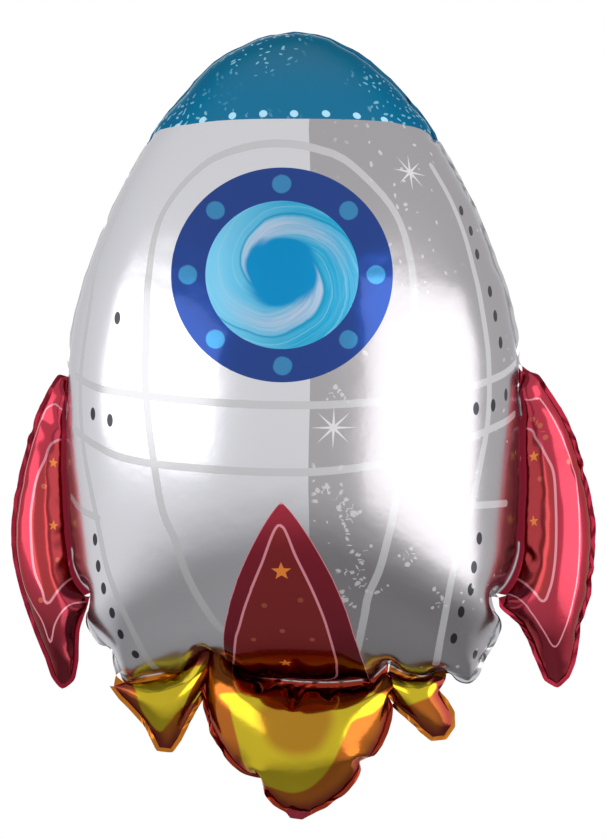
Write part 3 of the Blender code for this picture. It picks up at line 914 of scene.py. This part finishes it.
class Shader(Tree):
    """The nodes of one material; those of a film read its flat places and its mesh attributes."""

    def __init__(self, name, roughness, coat, rim=(1.0, 1.0, 1.0), metallic=1.0):
        self.material = bpy.data.materials.new(name)
        self.material.use_nodes = True
        super().__init__(self.material.node_tree)
        self.surface = self.tree.nodes["Principled BSDF"].inputs
        for socket, value in (("Roughness", roughness), ("Metallic", metallic), ("Coat Weight", coat),
                              ("Coat Roughness", COAT_ROUGHNESS), ("Specular Tint", rim)):
            self.put(self.surface[socket], value)

    def attribute(self, name, form="Fac"):
        """A mesh attribute, as a number, a Vector or a Color."""
        return self.output(form, "ShaderNodeAttribute", attribute_name=name)

    def flat(self):
        return self.output(0, "ShaderNodeUVMap", uv_map="flat")

    def mix(self, share, first, second):
        node = self.node("ShaderNodeMix", share, data_type="RGBA")
        self.put(node.inputs[6], first)
        self.put(node.inputs[7], second)
        return Value(self, node.outputs[2])

    def noise(self, scale, detail=2.0, roughness=0.5, vector=None):
        return self.output("Fac", "ShaderNodeTexNoise", vector or self.flat(), None, scale, detail, roughness)

    def spot(self, name):
        """The nearest spot's own coordinates, the radius in them, and the metres to its middle."""
        u, v, far = self.parts(self.attribute(name, "Vector"))
        return u, v, (u * u + v * v).root(), far

    def dots(self, name, reach=0.008, ragged=0.0):
        """1 on spots, which are smaller than reach."""
        _, _, size, far = self.spot(name)
        if ragged:
            size = size + self.noise(230.0, detail=1.0) * ragged
        return size.below(1.0, 0.08) * far.below(reach, 0.001)

    def star(self, name, points=5, inner=0.42, reach=0.02):
        """1 on pointed stars; inner is the share of the radius at the notches."""
        u, v, size, far = self.spot(name)
        step = 2 * math.pi / points
        turn = self.math("ARCTAN2", u, v) + (10 * step + step / 2)
        fold = abs(turn % step - step / 2)
        slope = (1 - inner * math.cos(step / 2)) / (inner * math.sin(step / 2))
        edge = fold.cosine() + fold.sine() * slope
        return (size * edge).below(1.0, 0.08) * far.below(reach, 0.001)

    def line(self, name, width):
        """1 on a line whose distance a mesh attribute holds."""
        return abs(self.attribute(name)).below(width / 2)

    def dashes(self, pitch, length, width, share, start=0.0):
        """1 on scattered dashes that lie every way; share is how many of the places have one."""
        place = self.output(0, "ShaderNodeVectorMath", self.flat(), (start, start, 0.0), operation="ADD")
        cells = self.node("ShaderNodeTexVoronoi", place, None, 1 / pitch, voronoi_dimensions="2D")
        colour, middle = (Value(self, cells.outputs[name]) for name in ("Color", "Position"))
        x, y, _ = self.parts(self.output(0, "ShaderNodeVectorMath", place, middle, operation="SUBTRACT"))
        chance, spin, grow = self.parts(colour)
        turn = spin * (2 * math.pi)
        cosine, sine = turn.cosine(), turn.sine()
        size = grow * 0.9 + 0.45
        u = (x * cosine + y * sine) / (size * length)
        v = (y * cosine - x * sine) / (size * width)
        ragged = self.noise(420.0, detail=1.0) * 1.2
        return (u * u + v * v + ragged).below(1.5, 0.25) * chance.below(share, 0.001)

    def finish(self, colour, bump=0.0, scale=38.0, ink=None):
        """Set the colour and the film's fine waves; ink is how far opaque ink covers the metal."""
        self.put(self.surface["Base Color"], colour)
        if ink:
            self.put(self.surface["Metallic"], 1.0 - ink)
        if bump:
            node = self.node("ShaderNodeBump", bump, BUMP_HEIGHT)
            self.put(node.inputs["Height"], self.noise(scale, detail=3.0))
            self.put(self.surface["Normal"], Value(self, node.outputs[0]))
        return self.material


# The films' materials, with lengths in metres on the flat film
COAT_ROUGHNESS = 0.06
BUMP_HEIGHT = 0.002
FLAT_SHIFT = (0.5, 0.1)     # from the flat film's places to its UV map
SHADE_X = 0.025             # the print is darker to the right of this
LINE_WIDTH = 0.0070
OUTLINE_WIDTH = 0.0015
PANEL_LINE_WIDTH = 0.0023
SILVER = (0.60, 0.60, 0.635)
SHADED_SILVER = (0.36, 0.345, 0.36)
LINE_GREY = (0.455, 0.45, 0.465)
DOT_GREY = (0.045, 0.045, 0.055)
PALE = (0.62, 0.61, 0.63)
NOSE_BLUE = (0.014, 0.16, 0.30)
# painted shade at the top of the nose
NOSE_TOP_SHADE = (0.045, 0.14, 0.22)
SPECK_BLUE = (0.20, 0.46, 0.56)
DOT_CYAN = (0.36, 0.62, 0.78)
RING_BLUES = (0.005, 0.036, 0.20), (0.008, 0.044, 0.24)
RIVET_BLUE = (0.030, 0.20, 0.42)
PANE_ARMS = 2
PANE_CURL = 1.7             # turns of the arms' phase from the middle to the rim
PANE_START = 0.98
PANE_TEAL = (0.014, 0.30, 0.50)
PANE_CYAN = (0.13, 0.44, 0.63)
PANE_PALE = (0.42, 0.48, 0.60)
PANE_STROKE = (0.22, 0.50, 0.62)
PANE_EDGE = (0.012, 0.20, 0.36)
PANE_DEEP = (0.002, 0.22, 0.46)
CRIMSONS = (0.37, 0.022, 0.046), (0.44, 0.028, 0.055)
# painted shade for the low parts of the crimson fields
PAINTED_SHADE_CRIMSON = (0.11, 0.003, 0.009)
PANEL_RED = (0.34, 0.032, 0.024)
PALE_PINK = (0.66, 0.25, 0.30)
DOT_ORANGE = (0.50, 0.10, 0.06)
STAR_ORANGE = (0.75, 0.22, 0.035)
BORDER_ORANGES = (0.32, 0.080, 0.005), (0.46, 0.130, 0.007)
EDGE_CRIMSON = (0.16, 0.013, 0.010)
HEART_YELLOWS = (0.42, 0.31, 0.008), (0.56, 0.43, 0.012)
AMBER_BROWN = (0.34, 0.13, 0.006)


def silver_film():
    shader = Shader("silver_film", roughness=0.22, coat=0.1, rim=(0.7, 0.7, 0.72))
    x, _, _ = shader.parts(shader.flat())
    shade_x = SHADE_X + FLAT_SHIFT[0]
    colour = shader.mix(x.below(shade_x, 0.0004), SHADED_SILVER, SILVER)
    lines = shader.line("upright", LINE_WIDTH) | shader.line("level", LINE_WIDTH)
    colour = shader.mix(lines, colour, LINE_GREY)
    colour = shader.mix(shader.dots("side_dots"), colour, DOT_GREY)
    small = shader.dashes(pitch=0.011, length=0.0022, width=0.0014, share=0.28)
    small = small * x.above(shade_x + 0.003, 0.002) * shader.noise(9.0, detail=1.0).above(0.50, 0.05)
    splashes = (shader.dots("splashes", 0.007, ragged=1.1) | small) * 0.55
    pale = splashes | shader.star("sparkles", points=8, inner=0.16, reach=0.03) * 0.8
    colour = shader.mix(pale, colour, PALE)
    return shader.finish(colour, 0.12, ink=lines * 0.42 | pale * 0.75)


def nose_film():
    shader = Shader("blue_film", roughness=0.17, coat=0.05, rim=(0.25, 0.45, 0.55))
    _, z, _ = shader.parts(shader.flat())
    # painted shade: the blue turns darker and greyer at the nose's top
    colour = shader.mix(z.above(0.86, 0.05), NOSE_BLUE, NOSE_TOP_SHADE)
    specks = shader.dashes(pitch=0.0080, length=0.0030, width=0.0014, share=0.48, start=0.3)
    specks = specks * shader.noise(8.0, detail=1.0).above(0.45, 0.08)
    colour = shader.mix(specks * 0.8, colour, SPECK_BLUE)
    dots = shader.dots("nose_dots")
    colour = shader.mix(dots, colour, DOT_CYAN)
    return shader.finish(colour, 0.12, ink=(dots | specks) * 0.7)


def ring_film():
    shader = Shader("ring_film", roughness=0.16, coat=0.5, rim=(0.3, 0.4, 0.7))
    colour = shader.mix(shader.noise(9.0), *RING_BLUES)
    return shader.finish(shader.mix(shader.dots("ring_dots", 0.013), colour, RIVET_BLUE), 0.10)


def pane_film():
    """Pale arms that curl out from a deep middle, each with a sharp edge and a soft one."""
    shader = Shader("pane_film", roughness=0.5, coat=0.15)
    x, z, _ = shader.parts(shader.flat())
    u = (x - (RING_CENTRE[0] + FLAT_SHIFT[0])) / (RING_RADII[0] * PANE_SHARE)
    v = (z - (RING_CENTRE[1] + FLAT_SHIFT[1])) / (RING_RADII[1] * PANE_SHARE)
    radius = (u * u + v * v).root()
    curl = radius * PANE_CURL + shader.noise(14.0) * 0.35
    phase = shader.math("ARCTAN2", v, u) * (PANE_ARMS / (2 * math.pi)) + curl + PANE_START
    turn = phase * (2 * math.pi / PANE_ARMS)
    ray = shader.output(0, "ShaderNodeCombineXYZ", turn.cosine(), turn.sine(), radius)
    bands = shader.noise(5.5, detail=3.0, roughness=0.6, vector=ray).above(0.50, 0.12)
    colour = shader.mix(u.below(-0.25, 0.60), PANE_TEAL, PANE_CYAN)
    colour = shader.mix(bands * 0.30, colour, PANE_CYAN)
    arm = phase.fraction()
    rise = arm.above(0.54, 0.24) * arm.below(0.97, 0.03)
    inner = radius.below(0.76, 0.18) * 0.85 + 0.08
    colour = shader.mix(rise * inner * (bands * 0.35 + 0.65), colour, PANE_PALE)
    strokes = (phase * 3.0 + 0.35).fraction().above(0.90, 0.06)
    colour = shader.mix(strokes * 0.40, colour, PANE_STROKE)
    colour = shader.mix(arm.below(0.035, 0.035) * 0.75, colour, PANE_EDGE)
    square = (phase * (4 * math.pi)).cosine() * 0.03
    blob = radius + shader.noise(30.0) * 0.16 + square
    return shader.finish(shader.mix(blob.below(0.55, 0.05), colour, PANE_DEEP), 0.10)


def crimson_film():
    """Crimson print with a pale line round the panel, stars and dots, and painted shade that darkens its low
    parts.
    """
    shader = Shader("crimson_film", roughness=0.19, coat=0.35, rim=(0.35, 0.05, 0.07))
    colour = shader.mix(shader.noise(8.0), *CRIMSONS)
    # painted shade: the crimson darkens where the deep attribute rises
    colour = shader.mix(shader.attribute("deep") * 0.8, colour, PAINTED_SHADE_CRIMSON)
    colour = shader.mix(shader.attribute("panel").below(0.0) * 0.6, colour, PANEL_RED)
    lines = shader.line("outline", OUTLINE_WIDTH) | shader.line("panel", PANEL_LINE_WIDTH)
    colour = shader.mix(lines, colour, PALE_PINK)
    colour = shader.mix(shader.dots("dots", 0.006), colour, DOT_ORANGE)
    stars = shader.star("stars")
    return shader.finish(shader.mix(stars, colour, STAR_ORANGE), 0.10, ink=(lines | stars) * 0.5)


def gold_film():
    """A yellow heart in an orange border that turns crimson at the seam."""
    shader = Shader("gold_film", roughness=0.14, coat=0.3, rim=(0.7, 0.35, 0.1))
    border = shader.mix(shader.noise(14.0), *BORDER_ORANGES)
    border = shader.mix(shader.attribute("edge").below(0.010, 0.008), border, EDGE_CRIMSON)
    heart = shader.mix(shader.noise(11.0), *HEART_YELLOWS)
    heart = shader.mix(shader.attribute("amber").below(0.004, 0.007) * 0.8, heart, AMBER_BROWN)
    colour = shader.mix(shader.attribute("panel").below(0.0, 0.0015), border, heart)
    return shader.finish(colour, 0.14, scale=42.0)


def seam_film():
    """The weld, in the colour of the print that runs out over it, darkened beside the fins and in the crease
    over the big flame as painted shade.
    """
    shader = Shader("seam_film", roughness=0.22, coat=0.1, rim=(0.6, 0.5, 0.5))
    return shader.finish(shader.attribute("tint", "Color"), 0.12, scale=60.0)


MATERIALS = {
    "silver_foil": silver_film(),
    "blue_foil": nose_film(),
    "ring_foil": ring_film(),
    "pane_foil": pane_film(),
    "crimson_foil": crimson_film(),
    "gold_foil": gold_film(),
    "seam_foil": seam_film(),
}
# the print's colour at the weld, darker than the print beside the fins and in the crease over the big flame
# as painted shade
SEAM_PRINT_AND_SHADE = {
    "body": (0.50, 0.50, 0.52),
    "fin_left": (0.17, 0.006, 0.018),
    "fin_right": (0.17, 0.006, 0.018),
    "flame_left": (0.38, 0.12, 0.010),
    "flame_centre": (0.22, 0.022, 0.008),
    "flame_right": (0.38, 0.12, 0.010),
}
NOSE_SEAM_PRINT_AND_SHADE = (0.012, 0.13, 0.25)
FIELD_SLOTS = {
    "body": "silver_foil",
    "nose": "blue_foil",
    "porthole_ring": "ring_foil",
    "porthole_pane": "pane_foil",
    "centre_fin": "crimson_foil",
    "fin_left": "crimson_foil",
    "fin_right": "crimson_foil",
    "flame_left": "gold_foil",
    "flame_centre": "gold_foil",
    "flame_right": "gold_foil",
}


def field_of(middle, lobe):
    """The name of the printed field that each triangle of a film belongs to."""
    names = np.array([LOBE_NAMES[k] for k in lobe], dtype=object)
    on_body = lobe == 0
    x, z = middle[:, 0], middle[:, 1]
    names[on_body & (z > nose_height(x))] = "nose"
    away = np.hypot((x - RING_CENTRE[0]) / RING_RADII[0], (z - RING_CENTRE[1]) / RING_RADII[1])
    names[on_body & (away < 1)] = "porthole_ring"
    names[on_body & (away < PANE_SHARE)] = "porthole_pane"
    half = np.array([arch_half(value) for value in z])
    names[on_body & (np.abs(x - ARCH_X) < half) & (z < ARCH_TOP)] = "centre_fin"
    return names


def point_normals(faces):
    a, b, c = (PLACE[faces[:, k]] for k in range(3))
    normal = np.cross(b - a, c - a)
    total = np.zeros_like(PLACE)
    for k in range(3):
        np.add.at(total, faces[:, k], normal)
    return total / np.maximum(np.linalg.norm(total, axis=1), 1e-12)[:, None]


def add_piece(name, faces, normals, slot, attributes):
    """A piece of film as its own mesh, in place of the frame's node of that name.

    The flat film is its UV map."""
    used, corner = np.unique(faces, return_inverse=True)
    corner = corner.reshape(-1, 3)
    mesh = bpy.data.meshes.new(f"film_{name}")
    mesh.from_pydata(PLACE[used].tolist(), [], corner.tolist())
    mesh.update()
    mesh.shade_smooth()
    mesh.normals_split_custom_set_from_vertices(normals[used].tolist())
    layer = mesh.uv_layers.new(name="flat")
    layer.data.foreach_set("uv", (FILM.cut[used] + FLAT_SHIFT)[corner.ravel()].ravel())
    for key, values in attributes.items():
        kind, field = ("FLOAT", "value") if values.ndim == 1 else ("FLOAT_VECTOR", "vector")
        mesh.attributes.new(key, kind, "POINT").data.foreach_set(field, values[used].ravel())
    mesh.materials.append(MATERIALS[slot])
    piece = bpy.data.objects.new(f"film_{name}", mesh)
    bpy.context.scene.collection.objects.link(piece)
    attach(piece, "root")
    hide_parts(name)


def seam_print_and_shade(points):
    """The colour of each point of the weld: that of the lobe it borders, fins and flames first, with painted
    shade in the darker tints.
    """
    away = np.stack([line.distance(points) for line in LOBES.values()])
    away[0] += 1.2 * FLANGE
    lobe = away.argmin(axis=0)
    tint = np.array([SEAM_PRINT_AND_SHADE[name] for name in LOBE_NAMES])[lobe]
    tint[(lobe == 0) & (points[:, 1] > nose_height(points[:, 0]))] = NOSE_SEAM_PRINT_AND_SHADE
    return tint


def spot_marks(spots):
    """For each point, the nearest spot's own coordinates and the distance to it.

    A spot is (flat x, flat z, half length, half width, turn)."""
    spots = np.array(spots)
    away = FILM.cut[:, None] - spots[None, :, :2]
    far = np.linalg.norm(away, axis=-1)
    which = far.argmin(axis=1)
    rows = np.arange(len(far))
    x, z = away[rows, which].T
    half_length, half_width, turn = spots[which, 2:].T
    u = (x * np.cos(turn) + z * np.sin(turn)) / half_length
    v = (z * np.cos(turn) - x * np.sin(turn)) / half_width
    return np.stack([u, v, far[rows, which]], axis=1)


def dot_marks(places, half_length, half_width, turn=None):
    """Marks of oval dots at places in the view, along the outline's direction unless turned."""
    spots = []
    for across, up in places:
        ahead = flat_at(across, up + 8) - flat_at(across, up - 8)
        angle = math.atan2(ahead[1], ahead[0]) if turn is None else turn
        spots.append((*flat_at(across, up), half_length, half_width, angle))
    return spot_marks(spots)


def star_marks(places):
    """Marks of stars or splashes: places in the view and a radius in millimetres."""
    return spot_marks([(*flat_at(across, up), size / 1000, size / 1000, 0.0) for across, up, size in places])


def rivet_marks():
    spots = []
    for k in range(RIVET_COUNT):
        turn = 2 * math.pi * k / RIVET_COUNT
        x = RING_CENTRE[0] + RIVET_PITCH * RING_RADII[0] * math.cos(turn)
        z = RING_CENTRE[1] + RIVET_PITCH * RING_RADII[1] * math.sin(turn)
        spots.append((x, z, RIVET_RADIUS, RIVET_RADIUS, 0.0))
    return spot_marks(spots)


def panel_depth(places):
    return printed(places, closed=True).depth(FILM.cut)


def print_marks():
    """For each field, what its material reads: distances to lines and the own coordinates of spots."""
    cut = FILM.cut
    marks = {field: {} for field in FIELD_SLOTS}
    marks["body"] = {
        "upright": nearest([printed(places) for places in UPRIGHT_LINES], cut),
        "level": nearest([printed(places) for places in LEVEL_LINES], cut),
        "side_dots": dot_marks(SIDE_DOTS, *SIDE_DOT_HALVES),
        "splashes": star_marks(SPLASHES),
        "sparkles": star_marks(SPARKLES),
    }
    marks["nose"]["nose_dots"] = dot_marks(NOSE_DOTS, *NOSE_DOT_HALVES, turn=0.0)
    marks["porthole_ring"]["ring_dots"] = rivet_marks()
    marks["centre_fin"] = {
        "outline": field_lines()["centre_fin"].distance(cut),
        # painted shade: the centre fin darkens towards the crease
        "deep": np.clip((ARCH_TOP - cut[:, 1]) / ARCH_SHADE_RISE, 0, 1),
    }
    for field, prints in FIN_PRINTS.items():
        if "outline" in prints:
            marks[field]["outline"] = panel_depth(prints["outline"])
            # painted shade: the side fins darken towards their lower parts
            marks[field]["deep"] = FIN_PAINTED_SHADE[field] * np.clip((FIN_SHADE_Z - cut[:, 1]) / FIN_SHADE_RISE, 0, 1)
        marks[field]["panel"] = panel_depth(prints["panel"])
        marks[field]["dots"] = dot_marks(prints["dots"], *FIN_DOT_HALVES, turn=0.0)
        marks[field]["stars"] = star_marks(prints["stars"])
    for field, heart in FLAME_HEARTS.items():
        has_amber = field == "flame_centre"
        marks[field] = {
            "panel": panel_depth(heart),
            "edge": LOBES[field].distance(cut),
            "amber": panel_depth(AMBER) if has_amber else np.full(len(cut), NO_AMBER),
        }
    return marks


def make_pieces():
    fields = field_of(FILM.cut[FILM.front_faces].mean(axis=1), FILM.blown_lobe)
    marks = print_marks()
    for side, faces in (("front", FILM.front_faces), ("back", FILM.back_faces)):
        normals = point_normals(faces)
        for field, slot in FIELD_SLOTS.items():
            add_piece(f"{field}_{side}", faces[fields == field], normals, slot, marks[field])
    normals = point_normals(FILM.single_faces)
    attributes = {**marks["centre_fin"], "tint": seam_print_and_shade(FILM.cut)}
    for name, label, slot in (("weld_seam", WELD, "seam_foil"), ("filling_neck", NECK, "crimson_foil")):
        add_piece(name, FILM.single_faces[FILM.single_lobe == label], normals, slot, attributes)


make_pieces()


# The camera, the lights and the floor

def add_camera():
    data = bpy.data.cameras.new("view")
    data.sensor_width = SENSOR
    data.lens = SENSOR * VIEW_DISTANCE / VIEW_HEIGHT
    camera = bpy.data.objects.new("view", data)
    camera.location = camera_place()
    camera.rotation_euler = (math.pi / 2, 0, VIEW_AZIMUTH)
    bpy.context.scene.collection.objects.link(camera)
    bpy.context.scene.camera = camera


def add_softbox(name, azimuth, elevation, width, height, radiance, roll=0.0):
    """A rectangular light that faces the balloon's middle, turned by roll about the way it faces.

    Azimuth 0 is in front, + is to the right, and angles are in degrees."""
    data = bpy.data.lights.new(name, "AREA")
    data.shape = "RECTANGLE"
    data.size, data.size_y = width, height
    data.energy = radiance * math.pi * width * height
    light = bpy.data.objects.new(name, data)
    a, e = math.radians(azimuth), math.radians(elevation)
    middle = Vector((0, 0, VIEW_CENTRE[1]))
    away = Vector((math.sin(a) * math.cos(e), -math.cos(a) * math.cos(e), math.sin(e)))
    light.location = middle + SOFTBOX_DISTANCE * away
    aim = (middle - light.location).to_track_quat("-Z", "Y")
    light.rotation_euler = (aim @ Quaternion((0, 0, 1), math.radians(roll))).to_euler()
    bpy.context.scene.collection.objects.link(light)


def add_world():
    """White all round, and darker towards the floor."""
    world = bpy.data.worlds.new("studio")
    bpy.context.scene.world = world
    world.use_nodes = True
    tree = Tree(world.node_tree)
    _, _, up = tree.parts(tree.output("Generated", "ShaderNodeTexCoord"))
    low, high = (math.sin(math.radians(elevation)) for elevation in WORLD_FADE)
    grey = tree.output(0, "ShaderNodeMapRange", up, low, high, WORLD_LOW_GREY, 1.0)
    tree.put(world.node_tree.nodes["Background"].inputs["Color"], grey)


def add_floor():
    bpy.ops.mesh.primitive_circle_add(vertices=96, radius=FLOOR_RADIUS, fill_type="NGON",
                                      location=(0, 0, FLOOR_Z))
    floor = bpy.context.object
    floor.name = "floor"
    shader = Shader("floor_paint", roughness=0.7, coat=0.0, metallic=0.0)
    grain = shader.output("Fac", "ShaderNodeTexNoise")
    floor.data.materials.append(shader.finish(shader.mix(grain, *FLOOR_GREYS)))


add_camera()
add_softbox("softbox_left", azimuth=-58, elevation=4.4, width=2.25, height=1.02, radiance=1.65, roll=-9)
add_softbox("softbox_right", azimuth=59.5, elevation=-1.5, width=2.37, height=1.62, radiance=2.1)
add_world()
add_floor()
bpy.context.scene.view_settings.view_transform = "Standard"
